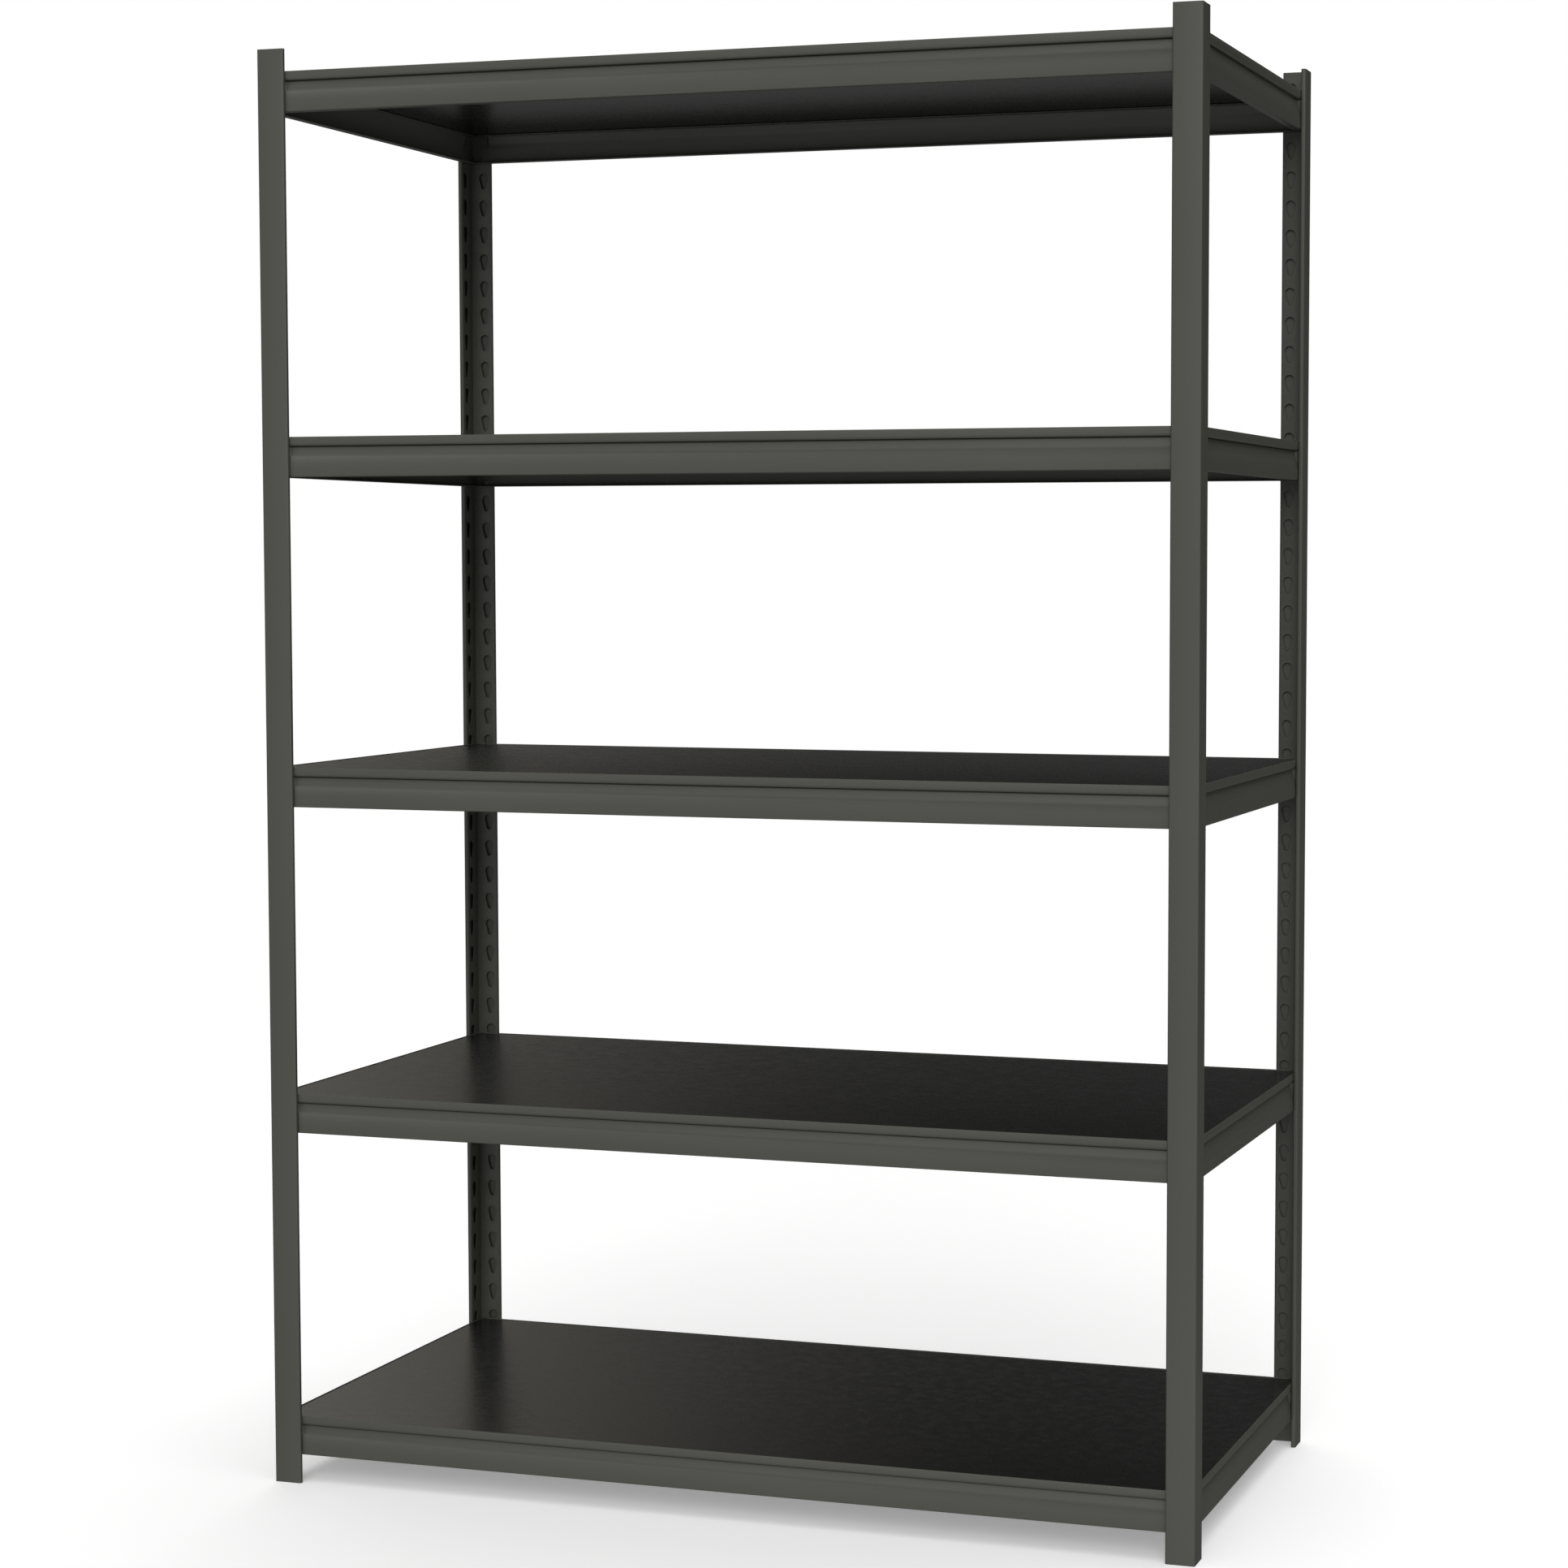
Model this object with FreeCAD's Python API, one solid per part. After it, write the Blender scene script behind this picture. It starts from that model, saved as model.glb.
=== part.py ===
import FreeCAD, Part
import math
import os

# Boltless steel shelving: four slotted corner posts, five levels of four hook-on beams
# and a loose board on each level.  Millimetres, +Z up, +X to the right, front at -Y.
# The origin is on the floor, in the middle of the footprint.

# Overall size
WIDTH = 1219.2
DEPTH = 609.6
HEIGHT = 1828.8

# Sheet steel and the slack left between pieces that come apart
SHEET = 1.2
SLACK = 0.3

# Corner post: an angle whose two legs are each folded back into a hollow double wall
LEG_WIDTH = 36.5
LEG_THICKNESS = 6.0
CORNER_RADIUS = 2.0
EDGE_RADIUS = 1.5

# Teardrop slots: a wide head that lets a rivet in, tapering to the seat that holds it
SLOT_PITCH = 38.1
SLOT_COUNT = 47
FIRST_SEAT = 42.55
SLOT_FROM_CORNER = 25.0
SLOT_HEAD_RADIUS = 6.4
SLOT_SEAT_RADIUS = 3.3
SLOT_RISE = 12.7
SLOT_HEAD_CHORDS = 3

# Shelf levels, counted in slot pitches above the lowest one
LOWEST_TOP = 87.0
LEVEL_PITCHES = (0, 11, 22, 33, 45)

# Beam section, measured inwards from its outer face and down from its top edge
BEAM_HEIGHT = 50.8
LIP_HEIGHT = 9.5
GROOVE_DEPTH = 5.0
GROOVE_BOTTOM = 19.0
RETURN_SHARE = 0.3
LEDGE_TOP = 10.5
LEDGE_REACH = 10.0
BEND = 1.0
FLANGE = 12.0

# Beam ends: the webs stop short of the corner, and on the long beams the flanges stop sooner
END_FROM_CORNER = 10.0
PINCH_LENGTH = 46.0
PINCH_AT_POST = 28.0
PINCH_DEPTH = 6.0

# Rivets that hook a beam end into its post; with eighty of them, six-sided heads do
RIVET_NECK_RADIUS = 2.9
RIVET_HEAD_RADIUS = 5.75
RIVET_HEAD_THICKNESS = 2.4
RIVET_FROM_TOP = 6.35

# Loose shelf board
BOARD_THICKNESS = 9.5
BOARD_INSET = 2.6

BEAM_SETBACK = LEG_THICKNESS + SLACK
Z_AXIS = FreeCAD.Vector(0, 0, 1)
ORIGIN = FreeCAD.Vector(0, 0, 0)
QUARTER_TURNS = {"front": 0, "right": 90, "rear": 180, "left": 270}


def prism(points, direction):
    """A solid swept along direction from the polygon through points."""
    wire = Part.makePolygon([FreeCAD.Vector(*p) for p in points + points[:1]])
    return Part.Face(wire).extrude(FreeCAD.Vector(*direction))


def flat_faced(sections):
    """A solid through sections of matching points, all of its faces flat.

    Where two neighbouring edges are skew, the strip between them is two triangles.
    """
    rings = [[FreeCAD.Vector(*p) for p in section] for section in sections]
    faces = [Part.Face(Part.makePolygon(ring + ring[:1])) for ring in (rings[0], rings[-1])]
    for near, far in zip(rings, rings[1:]):
        for i in range(len(near)):
            a, b, c, d = near[i - 1], near[i], far[i], far[i - 1]
            skew = abs((b - a).cross(d - a).dot(c - a)) > 1e-6
            for loop in ((a, b, c, a), (a, c, d, a)) if skew else ((a, b, c, d, a),):
                faces.append(Part.Face(Part.makePolygon(loop)))
    shell = Part.Shell(faces)
    shell.sewShape()
    return Part.Solid(shell)


def turned(shape, degrees, offset=(0, 0, 0)):
    """A copy turned about the vertical axis through the origin, then moved by offset."""
    copy = shape.copy()
    copy.rotate(ORIGIN, Z_AXIS, degrees)
    copy.translate(FreeCAD.Vector(*offset))
    return copy


def rounded_outline(corners):
    """A closed wire through (x, y, radius) corners, with an arc at each that has a radius."""
    pieces = []
    for i, (x, y, radius) in enumerate(corners):
        here = FreeCAD.Vector(x, y, 0)
        if not radius:
            pieces.append((here, None, here))
            continue
        before = FreeCAD.Vector(*corners[i - 1][:2], 0)
        after = FreeCAD.Vector(*corners[(i + 1) % len(corners)][:2], 0)
        back = (before - here).normalize()
        forth = (after - here).normalize()
        bisector = (back + forth).normalize()
        half = back.getAngle(forth) / 2
        reach = radius / math.tan(half)
        middle = here + bisector * (radius / math.sin(half) - radius)
        pieces.append((here + back * reach, middle, here + forth * reach))
    edges = []
    for i, (start, middle, end) in enumerate(pieces):
        if middle:
            edges.append(Part.Arc(start, middle, end).toShape())
        edges.append(Part.LineSegment(end, pieces[(i + 1) % len(pieces)][0]).toShape())
    return Part.Wire(edges)


def slot_outline():
    """Teardrop in (sideways, up) about its seat: few-sided, because there are hundreds."""
    head = []
    for i in range(SLOT_HEAD_CHORDS + 1):
        angle = math.pi * i / SLOT_HEAD_CHORDS
        head.append((SLOT_HEAD_RADIUS * math.cos(angle),
                     SLOT_RISE + SLOT_HEAD_RADIUS * math.sin(angle)))
    seat = [(-SLOT_SEAT_RADIUS, -SLOT_SEAT_RADIUS), (SLOT_SEAT_RADIUS, -SLOT_SEAT_RADIUS)]
    return head + seat


def slot_cutters():
    """Every slot of one post, through the inner skins of both of its legs."""
    depth = SHEET + 1.0
    start = LEG_THICKNESS - SHEET - 0.5
    cutters = []
    for row in range(SLOT_COUNT):
        seat = FIRST_SEAT + SLOT_PITCH * row
        outline = [(SLOT_FROM_CORNER + s, seat + up) for s, up in slot_outline()]
        cutters.append(prism([(s, start, z) for s, z in outline], (0, depth, 0)))
        cutters.append(prism([(start, s, z) for s, z in outline], (depth, 0, 0)))
    return Part.Compound(cutters)


def post():
    """One post with its outer corner on the Z axis and its legs along +X and +Y."""
    wide, thick, skin = LEG_WIDTH, LEG_THICKNESS, SHEET
    outline = [(0, 0, CORNER_RADIUS),
               (wide, 0, EDGE_RADIUS), (wide, thick, EDGE_RADIUS), (thick, thick, 0),
               (thick, wide, EDGE_RADIUS), (0, wide, EDGE_RADIUS)]
    hollow = [(skin, skin), (wide - skin, skin), (wide - skin, thick - skin),
              (thick - skin, thick - skin), (thick - skin, wide - skin), (skin, wide - skin)]
    bar = Part.Face(rounded_outline(outline)).extrude(FreeCAD.Vector(0, 0, HEIGHT))
    core = prism([(x, y, 0) for x, y in hollow], (0, 0, HEIGHT))
    return bar.cut(core).cut(slot_cutters())


def beam_section(x, pinch_bottom=GROOVE_BOTTOM, pinch_depth=GROOVE_DEPTH):
    """The sheet section at x: lip, folded ledge under the board, web and bottom flange.

    The ledge is the sheet folded flat on itself, which leaves a groove along the outside.
    The sheet returns from it in a rounded bend, drawn as two flats that meet at RETURN_SHARE
    of the groove's depth and height.  pinch_bottom and pinch_depth widen and deepen the
    groove where the web is pressed in.
    """
    slit = LEDGE_TOP + SHEET
    fold = slit + SHEET
    outline = [
        (0, 0),
        (0, LIP_HEIGHT),
        (SHEET + BEND, slit),
        (pinch_depth, slit),
        (pinch_depth * RETURN_SHARE, slit + (pinch_bottom - slit) * RETURN_SHARE),
        (0, pinch_bottom),
        (0, BEAM_HEIGHT),
        (FLANGE, BEAM_HEIGHT),
        (FLANGE, BEAM_HEIGHT - SHEET),
        (SHEET, BEAM_HEIGHT - SHEET),
        (SHEET, pinch_bottom + BEND / 2),
        (pinch_depth * RETURN_SHARE + SHEET, fold + (pinch_bottom - fold) * RETURN_SHARE),
        (pinch_depth + SHEET, fold),
        (LEDGE_REACH, fold),
        (LEDGE_REACH, LEDGE_TOP),
        (SHEET + BEND, LEDGE_TOP),
        (SHEET, LEDGE_TOP - BEND),
        (SHEET, 0),
    ]
    return [(x, inward, -down) for inward, down in outline]


def long_beam():
    """A front or rear beam, its outer face on the XZ plane and its top edge at z = 0."""
    flanged = WIDTH / 2 - BEAM_SETBACK - FLANGE - SLACK
    end = WIDTH / 2 - END_FROM_CORNER
    body = prism(beam_section(-flanged), (2 * flanged, 0, 0))
    tab = end - flanged
    for start in (-end, flanged):
        plate = Part.makeBox(tab, SHEET, BEAM_HEIGHT, FreeCAD.Vector(start, 0, -BEAM_HEIGHT))
        body = body.fuse(plate)
    return body.removeSplitter()


def side_beam():
    """A left or right beam, with the web pressed in towards both of its ends."""
    end = DEPTH / 2 - END_FROM_CORNER
    plain = DEPTH / 2 - LEG_WIDTH - PINCH_LENGTH
    growth = (end - plain) / PINCH_LENGTH
    bottom = GROOVE_BOTTOM + (PINCH_AT_POST - GROOVE_BOTTOM) * growth
    sections = [beam_section(-end, bottom, PINCH_DEPTH), beam_section(-plain),
                beam_section(plain), beam_section(end, bottom, PINCH_DEPTH)]
    return flat_faced(sections)


def rivet():
    """A rivet pointing along -Y from a beam's outer face, its axis on the Y axis."""
    inner_skin = SLACK + SHEET
    neck_length = inner_skin + (LEG_THICKNESS - 2 * SHEET - RIVET_HEAD_THICKNESS) / 2

    turns = [math.pi * i / 3 for i in range(6)]
    rim = [(RIVET_HEAD_RADIUS * math.cos(a), RIVET_HEAD_RADIUS * math.sin(a)) for a in turns]
    head = prism([(x, -neck_length, z) for x, z in rim], (0, -RIVET_HEAD_THICKNESS, 0))
    half = RIVET_NECK_RADIUS
    base = FreeCAD.Vector(-half, -neck_length, -half)
    return Part.makeBox(2 * half, neck_length, 2 * half, base).fuse(head)


def level_rivets(top):
    """The rivets of one level: two at each end of its four beams."""
    single = rivet()
    rivets = []
    for side, degrees in QUARTER_TURNS.items():
        along, across = (WIDTH, DEPTH) if side in ("front", "rear") else (DEPTH, WIDTH)
        for x in (SLOT_FROM_CORNER - along / 2, along / 2 - SLOT_FROM_CORNER):
            for down in (RIVET_FROM_TOP, RIVET_FROM_TOP + SLOT_PITCH):
                placed = single.copy()
                placed.translate(FreeCAD.Vector(x, BEAM_SETBACK - across / 2, top - down))
                rivets.append(turned(placed, degrees))
    return Part.Compound(rivets)


def shelf_board(top):
    """The loose board, resting on the ledges a millimetre below the lips."""
    long = WIDTH - 2 * (BEAM_SETBACK + BOARD_INSET)
    deep = DEPTH - 2 * (BEAM_SETBACK + BOARD_INSET)
    corner = FreeCAD.Vector(-long / 2, -deep / 2, top - LEDGE_TOP)
    return Part.makeBox(long, deep, BOARD_THICKNESS, corner)


def build():
    parts = {}
    single_post = post()
    corners = {"front_left": (0, -1, -1), "front_right": (90, 1, -1),
               "rear_right": (180, 1, 1), "rear_left": (270, -1, 1)}
    for name, (degrees, x, y) in corners.items():
        offset = (x * WIDTH / 2, y * DEPTH / 2, 0)
        parts["post_" + name] = turned(single_post, degrees, offset)
    beams = {"front": long_beam(), "rear": long_beam(), "left": side_beam(), "right": side_beam()}
    for number, pitches in enumerate(LEVEL_PITCHES, 1):
        top = LOWEST_TOP + SLOT_PITCH * pitches
        for side, beam in beams.items():
            across = DEPTH if side in ("front", "rear") else WIDTH
            placed = beam.copy()
            placed.translate(FreeCAD.Vector(0, BEAM_SETBACK - across / 2, top))
            parts["beam_%s_%d" % (side, number)] = turned(placed, QUARTER_TURNS[side])
        parts["rivets_%d" % number] = level_rivets(top)
        parts["board_%d" % number] = shelf_board(top)
    return parts


os.makedirs("parts", exist_ok=True)
for node, shape in build().items():
    shape.exportStep("parts/%s.step" % node)
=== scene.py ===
import math

import bmesh
import bpy
from mathutils import Matrix, Vector


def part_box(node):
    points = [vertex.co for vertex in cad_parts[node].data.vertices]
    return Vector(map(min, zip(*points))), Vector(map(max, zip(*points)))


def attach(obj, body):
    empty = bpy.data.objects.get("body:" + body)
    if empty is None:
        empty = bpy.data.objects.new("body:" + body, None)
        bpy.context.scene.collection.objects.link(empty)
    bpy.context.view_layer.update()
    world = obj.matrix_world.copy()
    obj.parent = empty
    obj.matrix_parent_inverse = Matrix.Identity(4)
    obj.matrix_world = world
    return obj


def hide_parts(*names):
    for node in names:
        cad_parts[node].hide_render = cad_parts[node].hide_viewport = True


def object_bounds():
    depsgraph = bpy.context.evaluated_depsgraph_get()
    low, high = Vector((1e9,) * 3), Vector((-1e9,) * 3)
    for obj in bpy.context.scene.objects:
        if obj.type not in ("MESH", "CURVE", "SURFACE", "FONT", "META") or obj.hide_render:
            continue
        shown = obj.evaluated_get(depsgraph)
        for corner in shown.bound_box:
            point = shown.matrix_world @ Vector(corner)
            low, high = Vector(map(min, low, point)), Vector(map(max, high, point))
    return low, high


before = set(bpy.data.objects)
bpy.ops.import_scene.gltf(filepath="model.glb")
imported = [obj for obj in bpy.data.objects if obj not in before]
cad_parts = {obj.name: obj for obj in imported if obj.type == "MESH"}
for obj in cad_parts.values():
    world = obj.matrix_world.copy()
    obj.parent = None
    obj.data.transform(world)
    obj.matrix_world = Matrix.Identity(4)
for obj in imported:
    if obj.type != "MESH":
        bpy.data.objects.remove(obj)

# The pieces are drawn in millimetres, in the same axes as the frame, and stored in metres.
MM = 0.001
cad_low, cad_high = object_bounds()
WIDTH = (cad_high.x - cad_low.x) / MM
DEPTH = (cad_high.y - cad_low.y) / MM
HEIGHT = (cad_high.z - cad_low.z) / MM
LEVELS = range(1, 6)
LEVEL_TOP = {n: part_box("beam_front_%d" % n)[1].z / MM for n in LEVELS}
QUARTER_TURNS = {"front": 0, "right": 90, "rear": 180, "left": 270}

# Sheet steel, and the slack between a beam and the post that it hangs in
SHEET = 1.2
SLACK = 0.3

# Folded corner post: the sheet is bent at FOLD_RADIUS at the edges of its legs
POST_LOW, POST_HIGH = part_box("post_front_left")
LEG_WIDTH = (POST_HIGH.x - POST_LOW.x) / MM
LEG_THICKNESS = 6.0
FOLD_RADIUS = 1.8
CORNER_RADIUS = 1.7
SEAM = 0.2

# Teardrop slots up the inner skins, with a fine chamfer of SLOT_RIM round each
SLOT_PITCH = 38.1
SLOT_COUNT = 47
FIRST_SEAT = 42.55
SLOT_FROM_CORNER = 25.0
SLOT_HEAD_RADIUS = 6.4
SLOT_SEAT_RADIUS = 3.3
SLOT_RISE = 12.7
SLOT_RIM = 0.25

# Beam section, inwards from the outer face and down from the top edge
BEAM_SETBACK = LEG_THICKNESS + SLACK
BEAM_HEIGHT = 50.8
LIP_HEIGHT = 8.0
BEND_RADIUS = 2.2
FOOT_RADIUS = 1.5
LEDGE_TOP = 10.5
LEDGE_REACH = 10.0
WEB_RECESS = 5.0
WEB_SHOULDER = 38.0
FLANGE = 12.0

# Beam ends: the recess ends in a short jog at the post, and on the side beams it reaches
# further down the web over the last stretch before that
END_FROM_CORNER = 10.0
JOG_FROM_POST_EDGE = 0.5
JOG_LENGTH = 4.0
TAB_OVERLAP = 0.01
PINCH_LENGTH = 46.0
PINCH_SHOULDER = 44.0

# Rivets: a head that hooks behind the post's inner skin, and a tail staked inside the beam
RIVET_FROM_TOP = 6.35
RIVET_NECK_RADIUS = 3.1
RIVET_HEAD_RADIUS = 5.75
RIVET_HEAD_GAP = 0.6
RIVET_TAIL_RADIUS = 4.0
RIVET_TAIL_HEIGHT = 1.1

# Boards
BOARD_EDGE = 0.5


# ---------------------------------------------------------------- drawing

def arc(centre, radius, start, end, steps):
    """Points on an arc, angles in degrees, both ends included."""
    points = []
    for i in range(steps + 1):
        a = math.radians(start + (end - start) * i / steps)
        points.append((centre[0] + radius * math.cos(a), centre[1] + radius * math.sin(a)))
    return points


def mix(a, b, t):
    """The number that lies at share t of the way from a to b."""
    return a + (b - a) * t


def rounded_path(corners, steps=5):
    """An open path through (x, y, radius) corners, with an arc at each that has a radius."""
    points = []
    for i, (x, y, radius) in enumerate(corners):
        here = Vector((x, y))
        if not radius:
            points.append((x, y))
            continue
        back = (Vector(corners[i - 1][:2]) - here).normalized()
        forth = (Vector(corners[i + 1][:2]) - here).normalized()
        half = back.angle(forth) / 2
        centre = here + (back + forth).normalized() * radius / math.sin(half)
        first = here + back * radius / math.tan(half) - centre
        last = here + forth * radius / math.tan(half) - centre
        turn = first.angle_signed(last)
        for k in range(steps + 1):
            p = centre + Matrix.Rotation(-turn * k / steps, 2) @ first
            points.append((p.x, p.y))
    return points


def make_object(name, vertices, faces, smooth_degrees=32):
    """A mesh object from millimetre vertices, smooth but for edges over smooth_degrees."""
    mesh = bpy.data.meshes.new(name)
    mesh.from_pydata([tuple(c * MM for c in v) for v in vertices], [], faces)
    drawn = bmesh.new()
    drawn.from_mesh(mesh)
    bmesh.ops.recalc_face_normals(drawn, faces=drawn.faces)
    drawn.to_mesh(mesh)
    drawn.free()
    mesh.shade_smooth()
    mesh.set_sharp_from_angle(angle=math.radians(smooth_degrees))
    piece = bpy.data.objects.new(name, mesh)
    bpy.context.scene.collection.objects.link(piece)
    return piece


def turned(points, degrees, offset=(0, 0, 0)):
    """Points turned about the vertical axis, then moved."""
    turn = Matrix.Rotation(math.radians(degrees), 3, "Z")
    return [tuple(turn @ Vector(p) + Vector(offset)) for p in points]


def lofted(sections):
    """Vertices and faces of a bar whose closed sections have matching points."""
    count = len(sections[0])
    vertices = [p for section in sections for p in section]
    faces = []
    for s in range(len(sections) - 1):
        for i in range(count):
            j = (i + 1) % count
            a, b = s * count, (s + 1) * count
            faces.append((a + i, a + j, b + j, b + i))
    faces.append(tuple(range(count)))
    faces.append(tuple(range(len(vertices) - count, len(vertices))))
    return vertices, faces


def joined(parts):
    """One list of vertices and faces from several."""
    vertices, faces = [], []
    for part_vertices, part_faces in parts:
        base = len(vertices)
        vertices += part_vertices
        faces += [tuple(base + i for i in face) for face in part_faces]
    return vertices, faces


# ---------------------------------------------------------------- posts

def slot_outline(grow, head_steps=18, seat_steps=8):
    """The teardrop about its seat as (sideways, up), grown outwards by grow."""
    head, seat = SLOT_HEAD_RADIUS + grow, SLOT_SEAT_RADIUS + grow
    lean = math.degrees(math.asin((SLOT_HEAD_RADIUS - SLOT_SEAT_RADIUS) / SLOT_RISE))
    outline = arc((0, SLOT_RISE), head, -lean, 180 + lean, head_steps)
    return outline + arc((0, 0), seat, 180 + lean, 360 - lean, seat_steps)


def plate_round_hole(corners, hole, places):
    """Faces that fill a four-cornered plate around a hole, all given as vertex numbers."""
    centre = sum((places[i] for i in hole), Vector()) / len(hole)

    def nearest(a, b):
        way = (places[a] + places[b]) / 2 - centre
        return max(range(4), key=lambda k: way.dot((places[corners[k]] - centre).normalized()))

    faces = []
    owners = [nearest(hole[i], hole[(i + 1) % len(hole)]) for i in range(len(hole))]
    for i, owner in enumerate(owners):
        j = (i + 1) % len(hole)
        faces.append((hole[i], hole[j], corners[owner]))
        if owners[j] != owner:
            faces.append((hole[j], corners[owners[j]], corners[owner]))
    return faces


def post_mesh():
    """A post with its outer corner on the Z axis and its legs along +X and +Y.

    The sheet starts at the inner corner, runs out along one leg, folds back on the outside,
    turns the outer corner and comes back the same way along the other leg.
    """
    wide, thick, skin = LEG_WIDTH, LEG_THICKNESS, SHEET
    inner_fold = FOLD_RADIUS - skin
    shown = rounded_path([
        (thick + SEAM, thick, 0), (wide, thick, FOLD_RADIUS), (wide, 0, FOLD_RADIUS),
        (0, 0, CORNER_RADIUS),
        (0, wide, FOLD_RADIUS), (thick, wide, FOLD_RADIUS), (thick, thick - skin + SEAM, 0)])
    hidden = rounded_path([
        (thick + SEAM, thick - skin, 0), (wide - skin, thick - skin, inner_fold),
        (wide - skin, skin, inner_fold), (skin, skin, CORNER_RADIUS - skin),
        (skin, wide - skin, inner_fold), (thick - skin, wide - skin, inner_fold),
        (thick - skin, thick - skin + SEAM, 0)])
    ring = shown + hidden[::-1]
    count, half = len(ring), len(shown)
    middle = (SLOT_RISE + SLOT_HEAD_RADIUS - SLOT_SEAT_RADIUS) / 2
    rows = [0]
    for k in range(SLOT_COUNT + 1):
        rows.append(FIRST_SEAT + middle + SLOT_PITCH * (k - 0.5))
    rows.append(HEIGHT)
    places = [Vector((x, y, z)) for z in rows for x, y in ring]
    faces = []
    # The shown and hidden face of each slotted skin: edge of the ring, and the way it faces
    slotted = {0: "y", half - 2: "x", half: "x", count - 2: "y"}

    def rim(axis, seat, depth, grow):
        """Adds one turn of a slot's wall at that distance from the post's outer face."""
        start = len(places)
        for side, up in slot_outline(grow):
            along = SLOT_FROM_CORNER + side
            place = (along, depth, seat + up) if axis == "y" else (depth, along, seat + up)
            places.append(Vector(place))
        return list(range(start, len(places)))

    for row in range(len(rows) - 1):
        has_slot = 0 < row <= SLOT_COUNT
        walls = {}
        if has_slot:
            seat = FIRST_SEAT + SLOT_PITCH * (row - 1)
            for axis in ("x", "y"):
                turns = [rim(axis, seat, thick, SLOT_RIM), rim(axis, seat, thick - SLOT_RIM, 0),
                         rim(axis, seat, thick - skin, 0)]
                walls[axis] = turns
                for near, far in zip(turns, turns[1:]):
                    for i in range(len(near)):
                        j = (i + 1) % len(near)
                        faces.append((near[i], near[j], far[j], far[i]))
        for i in range(count):
            j = (i + 1) % count
            corners = (row * count + i, row * count + j,
                       (row + 1) * count + j, (row + 1) * count + i)
            if has_slot and i in slotted:
                hole = walls[slotted[i]][0 if i < half - 1 else 2]
                faces += plate_round_hole(corners, hole, places)
            else:
                faces.append(corners)
    for base in (0, (len(rows) - 1) * count):
        for i in range(half - 1):
            faces.append((base + i, base + i + 1, base + count - 2 - i, base + count - 1 - i))
    return [tuple(p) for p in places], faces


def make_posts():
    """The four posts, one turned into each corner."""
    places, faces = post_mesh()
    corners = {"front_left": (0, -1, -1), "front_right": (90, 1, -1),
               "rear_right": (180, 1, 1), "rear_left": (270, -1, 1)}
    posts = []
    for name, (degrees, x, y) in corners.items():
        moved = turned(places, degrees, (x * WIDTH / 2, y * DEPTH / 2, 0))
        post = make_object("steel_post_" + name, moved, faces)
        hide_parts("post_" + name)
        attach(post, "posts")
        posts.append(post)
    return posts


# ---------------------------------------------------------------- beams

def beam_outline(recess, shoulder):
    """A beam's section as (inwards, down): lip, ledge folded flat, web and bottom flange.

    Below the ledge the web starts at recess behind the lip's face, and slopes out until it is
    flush with it, shoulder below the top edge.
    """
    half, inside = SHEET / 2, FOOT_RADIUS - SHEET
    slit, under = LEDGE_TOP + SHEET, LEDGE_TOP + 2 * SHEET
    start = slit + BEND_RADIUS
    fold_end = recess + BEND_RADIUS

    def web(inset):
        """Down the web's face, from the end of its upper bend to the shoulder."""
        points = []
        for i in range(9):
            t = (i / 8) ** 1.5
            points.append((inset + recess * (1 - t) ** 1.5, mix(start, shoulder, t)))
        return points

    outline = arc((half, half), half, 0, -180, 4)
    outline += [(mix(BEND_RADIUS, 0, math.cos(a)), mix(LIP_HEIGHT, slit, math.sin(a)))
                for a in (math.radians(15 * i) for i in range(7))]
    outline += arc((fold_end, start), BEND_RADIUS - 0.05, -90, -180, 5)[:-1]
    outline += web(0)
    outline += arc((FOOT_RADIUS, BEAM_HEIGHT - FOOT_RADIUS), FOOT_RADIUS, 180, 90, 5)
    outline += arc((FLANGE - half, BEAM_HEIGHT - half), half, 90, -90, 4)
    outline += arc((FOOT_RADIUS, BEAM_HEIGHT - FOOT_RADIUS), inside, 90, 180, 4)
    outline += reversed(web(SHEET))
    outline += arc((fold_end, start), BEND_RADIUS - SHEET, -180, -90, 5)[1:]
    outline += arc((LEDGE_REACH - SHEET, LEDGE_TOP + SHEET), SHEET, 90, -90, 6)
    lip_bend = (BEND_RADIUS, LEDGE_TOP - BEND_RADIUS + SHEET)
    outline += arc(lip_bend, BEND_RADIUS - SHEET, 90, 180, 4)
    return outline


def beam_bar(half_stations):
    """A beam's bar along X, outer face at y = 0 and top edge at z = 0.

    half_stations are (x, recess, shoulder) for its right half, inner end first.
    """
    stations = [(-x, recess, shoulder) for x, recess, shoulder in reversed(half_stations)]
    sections = []
    for x, recess, shoulder in stations + half_stations:
        outline = beam_outline(recess, shoulder)
        sections.append([(x, inward, -down) for inward, down in outline])
    return lofted(sections)


def long_beam_mesh():
    """A front or rear beam, its flange stopping short of the posts and plain tabs beyond."""
    flanged = WIDTH / 2 - BEAM_SETBACK - FLANGE - SLACK
    end = WIDTH / 2 - END_FROM_CORNER
    jog = WIDTH / 2 - LEG_WIDTH + JOG_FROM_POST_EDGE
    bar = beam_bar([(jog, WEB_RECESS, WEB_SHOULDER), (jog + JOG_LENGTH, 0, WEB_SHOULDER),
                    (flanged, 0, WEB_SHOULDER)])
    tabs = []
    for a, b in ((-end, TAB_OVERLAP - flanged), (flanged - TAB_OVERLAP, end)):
        outline = [(0, 0), (0, -BEAM_HEIGHT), (SHEET, -BEAM_HEIGHT), (SHEET, 0)]
        tabs.append(lofted([[(x, y, z) for y, z in outline] for x in (a, b)]))
    return joined([bar] + tabs)


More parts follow.
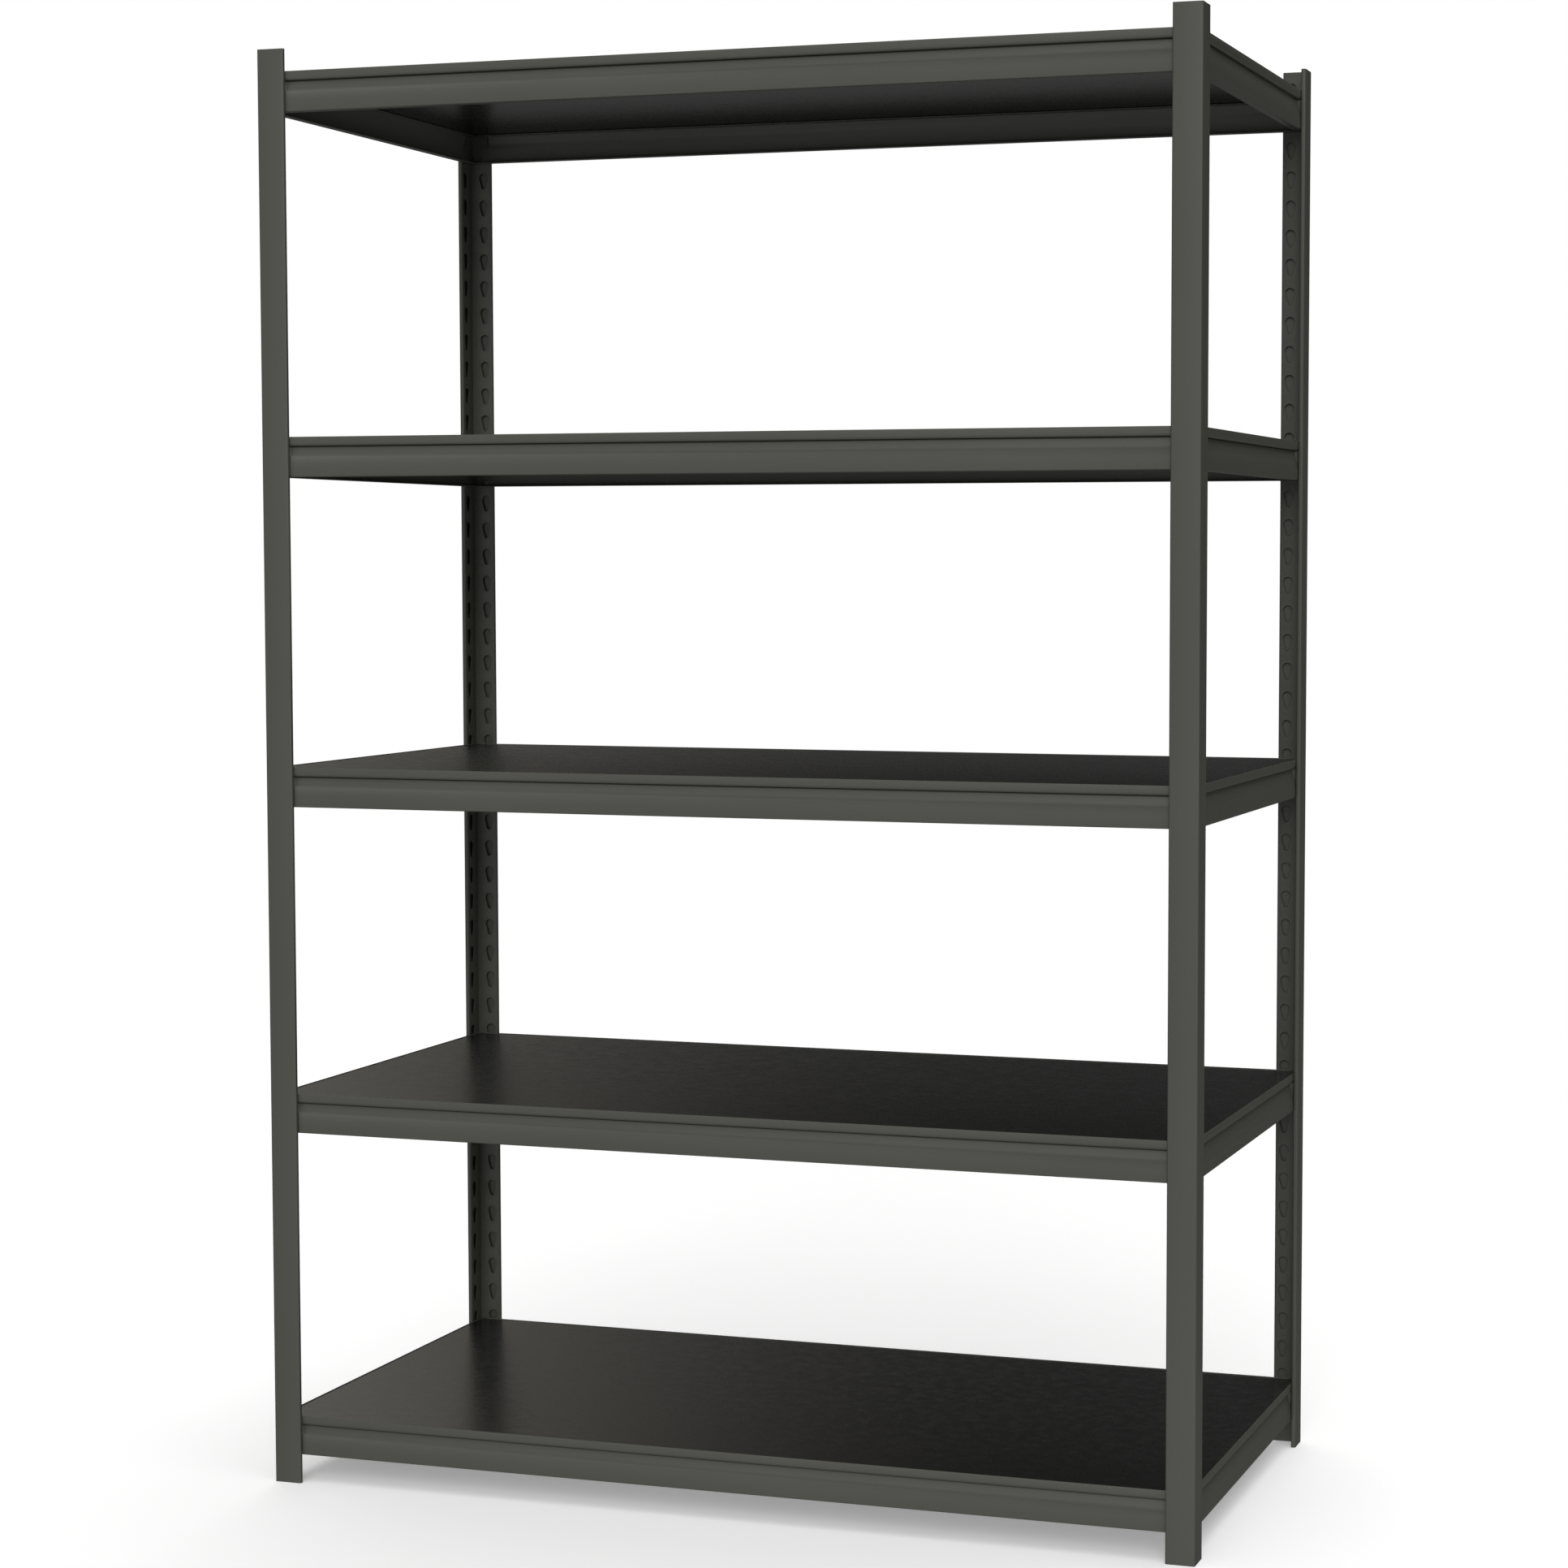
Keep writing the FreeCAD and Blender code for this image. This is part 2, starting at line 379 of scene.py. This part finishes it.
def side_beam_mesh():
    """A left or right beam, its recess reaching lower towards both posts."""
    end = DEPTH / 2 - END_FROM_CORNER
    post_edge = DEPTH / 2 - LEG_WIDTH
    start = post_edge - PINCH_LENGTH
    steps = 8
    stations = [(mix(start, post_edge, i / steps), WEB_RECESS,
                 mix(WEB_SHOULDER, PINCH_SHOULDER, i / steps)) for i in range(steps + 1)]
    return beam_bar(stations + [(post_edge + JOG_LENGTH, 0, PINCH_SHOULDER),
                                (end, 0, PINCH_SHOULDER)])


def make_beams():
    """Four beams on every level, keyed by side and level."""
    drawn = {"front": long_beam_mesh(), "left": side_beam_mesh()}
    drawn["rear"], drawn["right"] = drawn["front"], drawn["left"]
    beams = {}
    for n in LEVELS:
        for side, (vertices, faces) in drawn.items():
            across = DEPTH if side in ("front", "rear") else WIDTH
            away = BEAM_SETBACK - across / 2
            moved = [(x, y + away, z + LEVEL_TOP[n]) for x, y, z in vertices]
            beam = make_object("steel_beam_%s_%d" % (side, n),
                               turned(moved, QUARTER_TURNS[side]), faces, 25)
            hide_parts("beam_%s_%d" % (side, n))
            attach(beam, "level_%d" % n)
            beams[side, n] = beam
    return beams


# ---------------------------------------------------------------- rivets

def rivet_mesh(steps=24):
    """A rivet through a beam's web, its head pointing along -Y from the web's outer face."""
    neck, head, tail = RIVET_NECK_RADIUS, RIVET_HEAD_RADIUS, RIVET_TAIL_RADIUS
    inner_skin = SLACK + SHEET
    tail_end, head_start = SHEET + RIVET_TAIL_HEIGHT, -inner_skin - RIVET_HEAD_GAP
    profile = [(0.0, tail_end), (tail * 0.6, tail_end - 0.1), (tail * 0.88, tail_end - 0.4),
               (tail, SHEET + 0.25), (tail, SHEET), (neck, SHEET), (neck, head_start),
               (head - 0.3, head_start), (head, head_start - 0.3), (head, head_start - 1.8),
               (head * 0.8, head_start - 2.3), (0.0, head_start - 2.4)]
    vertices, faces = [], []
    for i in range(steps):
        a = 2 * math.pi * i / steps
        vertices += [(r * math.cos(a), y, r * math.sin(a)) for r, y in profile[1:-1]]
    rings = len(profile) - 2
    first, last = len(vertices), len(vertices) + 1
    vertices += [(0, profile[0][1], 0), (0, profile[-1][1], 0)]
    for i in range(steps):
        a, b = i * rings, (i + 1) % steps * rings
        for k in range(rings - 1):
            faces.append((a + k, b + k, b + k + 1, a + k + 1))
        faces.append((first, b, a))
        faces.append((last, a + rings - 1, b + rings - 1))
    return vertices, faces


def make_rivets():
    """One piece per level: two rivets at each end of its four beams."""
    vertices, faces = rivet_mesh()
    groups = []
    for n in LEVELS:
        placed = []
        for side, degrees in QUARTER_TURNS.items():
            along, across = (WIDTH, DEPTH) if side in ("front", "rear") else (DEPTH, WIDTH)
            for x in (SLOT_FROM_CORNER - along / 2, along / 2 - SLOT_FROM_CORNER):
                for down in (RIVET_FROM_TOP, RIVET_FROM_TOP + SLOT_PITCH):
                    offset = Vector((x, BEAM_SETBACK - across / 2, LEVEL_TOP[n] - down))
                    moved = [tuple(Vector(v) + offset) for v in vertices]
                    placed.append((turned(moved, degrees), faces))
        group = make_object("steel_rivets_%d" % n, *joined(placed), 40)
        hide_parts("rivets_%d" % n)
        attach(group, "level_%d" % n)
        groups.append(group)
    return groups


# ---------------------------------------------------------------- materials

class Paint:
    """A node material under construction, with short ways to add and link nodes."""

    def __init__(self, name):
        self.material = bpy.data.materials.new(name)
        self.material.use_nodes = True
        self.tree = self.material.node_tree
        self.shader = self.tree.nodes["Principled BSDF"]
        place = self.add("ShaderNodeTexCoord")
        self.place = place.outputs["Object"]

    def add(self, kind, **settings):
        node = self.tree.nodes.new(kind)
        for key, value in settings.items():
            setattr(node, key, value)
        return node

    def link(self, output, node, socket):
        self.tree.links.new(output, node.inputs[socket])

    def stretched(self, scale):
        """The object's coordinates, scaled differently along each axis."""
        node = self.add("ShaderNodeMapping")
        node.inputs["Scale"].default_value = scale
        self.link(self.place, node, "Vector")
        return node.outputs["Vector"]

    def noise(self, scale, detail=2.0, rough=0.5, vector=None):
        node = self.add("ShaderNodeTexNoise")
        node.inputs["Scale"].default_value = scale
        node.inputs["Detail"].default_value = detail
        node.inputs["Roughness"].default_value = rough
        self.link(vector or self.place, node, "Vector")
        return node.outputs["Fac"]

    def ranged(self, value, low, high, to_low, to_high):
        node = self.add("ShaderNodeMapRange")
        for socket, number in (("From Min", low), ("From Max", high),
                               ("To Min", to_low), ("To Max", to_high)):
            node.inputs[socket].default_value = number
        self.link(value, node, "Value")
        return node.outputs["Result"]

    def math(self, operation, a, b):
        node = self.add("ShaderNodeMath", operation=operation)
        for socket, value in ((0, a), (1, b)):
            if isinstance(value, (int, float)):
                node.inputs[socket].default_value = value
            else:
                self.link(value, node, socket)
        return node.outputs[0]

    def blend(self, factor, a, b):
        """A colour from a to b by factor; a and b are colours or sockets."""
        node = self.add("ShaderNodeMix", data_type="RGBA")
        self.link(factor, node, 0)
        for socket, value in ((6, a), (7, b)):
            if isinstance(value, tuple):
                node.inputs[socket].default_value = (*value, 1)
            else:
                self.link(value, node, socket)
        return node.outputs[2]

    def bump(self, height, strength, distance, under=None):
        node = self.add("ShaderNodeBump")
        node.inputs["Strength"].default_value = strength
        node.inputs["Distance"].default_value = distance
        self.link(height, node, "Height")
        if under:
            self.link(under, node, "Normal")
        return node.outputs["Normal"]


def steel_paint(name, streaks):
    """Satin powder coat over roll-formed sheet; streaks scales noise along the rolling way."""
    paint = Paint(name)
    cloud = paint.ranged(paint.noise(2.3, 3), 0.3, 0.7, 0, 1)
    drift = paint.noise(1.0, 3, 0.6, paint.stretched(streaks))
    colour = paint.blend(cloud, (0.068, 0.0705, 0.0565), (0.078, 0.0805, 0.0655))
    speck = paint.ranged(paint.noise(1500, 1), 0.62, 0.75, 0, 0.35)
    colour = paint.blend(speck, colour, (0.11, 0.112, 0.1))
    paint.link(colour, paint.shader, "Base Color")
    rough = paint.ranged(drift, 0.3, 0.7, 0.40, 0.50)
    paint.link(rough, paint.shader, "Roughness")
    peel = paint.bump(paint.noise(650, 2), 0.10, 0.0004)
    ripple = paint.bump(drift, 0.12, 0.0006, peel)
    paint.link(ripple, paint.shader, "Normal")
    paint.shader.inputs["Specular IOR Level"].default_value = 0.5
    return paint.material


def board_laminate(name):
    """Dark laminate on particle board: smooth faces, bare chips of wood along the edges."""
    paint = Paint(name)
    faces = paint.blend(paint.ranged(paint.noise(5, 4), 0.3, 0.7, 0, 1),
                        (0.0072, 0.0070, 0.0067), (0.0092, 0.0090, 0.0086))
    flecks = paint.ranged(paint.noise(900, 2), 0.66, 0.8, 0, 0.25)
    faces = paint.blend(flecks, faces, (0.03, 0.029, 0.028))
    chips = paint.add("ShaderNodeTexVoronoi")
    chips.inputs["Scale"].default_value = 420
    paint.link(paint.stretched((0.45, 0.45, 1.6)), chips, "Vector")
    tone = paint.add("ShaderNodeSeparateColor")
    paint.link(chips.outputs["Color"], tone, 0)
    edges = paint.blend(tone.outputs[0], (0.075, 0.045, 0.024), (0.24, 0.16, 0.09))
    normal = paint.add("ShaderNodeNewGeometry")
    split = paint.add("ShaderNodeSeparateXYZ")
    paint.link(normal.outputs["True Normal"], split, 0)
    flat = paint.ranged(paint.math("ABSOLUTE", split.outputs["Z"], 0), 0.5, 0.9, 0, 1)
    paint.link(paint.blend(flat, edges, faces), paint.shader, "Base Color")
    laminate = paint.ranged(paint.noise(60, 4), 0.3, 0.7, 0.24, 0.29)
    both = paint.add("ShaderNodeMix")
    paint.link(flat, both, 0)
    both.inputs[2].default_value = 0.85
    paint.link(laminate, both, 3)
    paint.link(both.outputs[0], paint.shader, "Roughness")
    pebble = paint.bump(paint.noise(600, 3), 0.02, 0.0003)
    paint.link(pebble, paint.shader, "Normal")
    return paint.material


def set_material(piece, material):
    piece.data.materials.clear()
    piece.data.materials.append(material)


# ---------------------------------------------------------------- boards

def dress_boards(material):
    """The boards keep their CAD solids, with their arrises eased."""
    for n in LEVELS:
        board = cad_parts["board_%d" % n]
        ease = board.modifiers.new("eased_edges", "BEVEL")
        ease.width = BOARD_EDGE * MM
        ease.segments = 3
        board.data.shade_smooth()
        board.data.set_sharp_from_angle(angle=math.radians(40))
        set_material(board, material)


# ---------------------------------------------------------------- studio

def make_floor():
    """A pale floor that catches the soft shadow and fades out into the white."""
    bpy.ops.mesh.primitive_circle_add(vertices=96, radius=8, fill_type="NGON")
    floor = bpy.context.object
    floor.name = "floor"
    paint = Paint("floor_paint")
    paint.shader.inputs["Base Color"].default_value = (0.9, 0.9, 0.9, 1)
    paint.shader.inputs["Roughness"].default_value = 0.9
    paint.shader.inputs["Specular IOR Level"].default_value = 0.1
    paint.shader.inputs["Emission Color"].default_value = (1, 1, 1, 1)
    paint.shader.inputs["Emission Strength"].default_value = 0.3
    reach = paint.add("ShaderNodeVectorMath", operation="LENGTH")
    paint.link(paint.place, reach, 0)
    fade = paint.ranged(reach.outputs["Value"], 1.5, 5.0, 0, 1)
    clear = paint.add("ShaderNodeBsdfTransparent")
    both = paint.add("ShaderNodeMixShader")
    paint.link(fade, both, 0)
    paint.link(paint.shader.outputs[0], both, 1)
    paint.link(clear.outputs[0], both, 2)
    paint.link(both.outputs[0], paint.tree.nodes["Material Output"], "Surface")
    set_material(floor, paint.material)
    floor.visible_glossy = False
    floor.visible_diffuse = False


def make_softbox(name, place, strength, spread_degrees):
    """A broad soft sun at place, turned to the middle of the shelving."""
    lamp = bpy.data.lights.new(name, "SUN")
    lamp.energy = strength
    lamp.angle = math.radians(spread_degrees)
    light = bpy.data.objects.new(name, lamp)
    light.location = place
    light.rotation_mode = "QUATERNION"
    middle = Vector((0, 0, HEIGHT * MM / 2))
    light.rotation_quaternion = (light.location - middle).to_track_quat("Z", "Y")
    light.visible_camera = False
    bpy.context.scene.collection.objects.link(light)


def make_studio():
    """A plain white backdrop, and soft glows all round that only the shelving sees."""
    scene = bpy.context.scene
    scene.view_settings.view_transform = "Standard"
    world = bpy.data.worlds.new("studio")
    world.use_nodes = True
    tree = world.node_tree
    place = tree.nodes.new("ShaderNodeTexCoord")

    def glow(way, narrow, wide, strength, colour=(1, 1, 1)):
        """Light from around way: full within narrow degrees of it, none beyond wide."""
        near = tree.nodes.new("ShaderNodeVectorMath")
        near.operation = "DOT_PRODUCT"
        near.inputs[1].default_value = Vector(way).normalized()
        tree.links.new(place.outputs["Generated"], near.inputs[0])
        span = tree.nodes.new("ShaderNodeMapRange")
        span.interpolation_type = "SMOOTHSTEP"
        span.inputs["From Min"].default_value = math.cos(math.radians(wide))
        span.inputs["From Max"].default_value = math.cos(math.radians(narrow))
        span.inputs["To Max"].default_value = strength
        tree.links.new(near.outputs["Value"], span.inputs["Value"])
        light = tree.nodes.new("ShaderNodeBackground")
        light.inputs["Color"].default_value = (*colour, 1)
        tree.links.new(span.outputs["Result"], light.inputs["Strength"])
        return light.outputs[0]

    front_wall = glow((0.4, -1.0, 0.15), 20, 125, 0.42)
    front_window = glow((0.05, -1.0, 0.45), 12, 34, 0.3)
    front_floor = glow((-0.3, -1.0, -0.36), 8, 34, 0.25)
    right_floor = glow((1.0, -0.3, -0.3), 10, 60, 0.16)
    rear_overhead = glow((0.0, 0.6, 1.0), 8, 35, 1.5)
    warm_rear_left = glow((-0.64, 0.78, 0.44), 2, 21, 0.68, (1.0, 0.96, 0.85))
    ceiling = glow((0.0, 0.35, 1.0), 30, 75, 0.04)
    floor_bounce = glow((0.0, 0.5, -1.0), 30, 80, 0.22)
    around = front_wall
    for one in (front_window, front_floor, right_floor, rear_overhead, warm_rear_left,
                ceiling, floor_bounce):
        both = tree.nodes.new("ShaderNodeAddShader")
        tree.links.new(around, both.inputs[0])
        tree.links.new(one, both.inputs[1])
        around = both.outputs[0]
    seen = tree.nodes["Background"]
    seen.inputs["Color"].default_value = (1, 1, 1, 1)
    ray = tree.nodes.new("ShaderNodeLightPath")
    both = tree.nodes.new("ShaderNodeMixShader")
    tree.links.new(ray.outputs["Is Camera Ray"], both.inputs[0])
    tree.links.new(around, both.inputs[1])
    tree.links.new(seen.outputs[0], both.inputs[2])
    tree.links.new(both.outputs[0], tree.nodes["World Output"].inputs["Surface"])
    scene.world = world
    make_floor()
    make_softbox("front_softbox", (0.88, -3.28, 2.60), 0.97, 34)
    make_softbox("top_softbox", (0.2, -0.4, 4.91), 0.9, 70)


def make_camera():
    """In front and to the right, a little above the middle, looking slightly down."""
    turn, dip = 0.3157, -0.0693
    lens = bpy.data.cameras.new("camera")
    lens.sensor_width = 36
    lens.lens = 78.49
    lens.shift_x = -0.0889
    lens.shift_y = 0.0089
    camera = bpy.data.objects.new("camera", lens)
    camera.location = (1.5379, -4.1809, 1.1880)
    level = math.cos(dip)
    ahead = Vector((-math.sin(turn) * level, math.cos(turn) * level, math.sin(dip)))
    camera.rotation_mode = "QUATERNION"
    camera.rotation_quaternion = ahead.to_track_quat("-Z", "Y")
    bpy.context.scene.collection.objects.link(camera)
    bpy.context.scene.camera = camera


make_camera()
posts = make_posts()
beams = make_beams()
rivets = make_rivets()
along_z = steel_paint("post_powder_coat", (160, 160, 2))
along_x = steel_paint("long_beam_powder_coat", (2, 160, 160))
along_y = steel_paint("side_beam_powder_coat", (160, 2, 160))
for post in posts:
    set_material(post, along_z)
for (side, n), beam in beams.items():
    set_material(beam, along_x if side in ("front", "rear") else along_y)
for group in rivets:
    set_material(group, along_z)
dress_boards(board_laminate("board_laminate"))
make_studio()
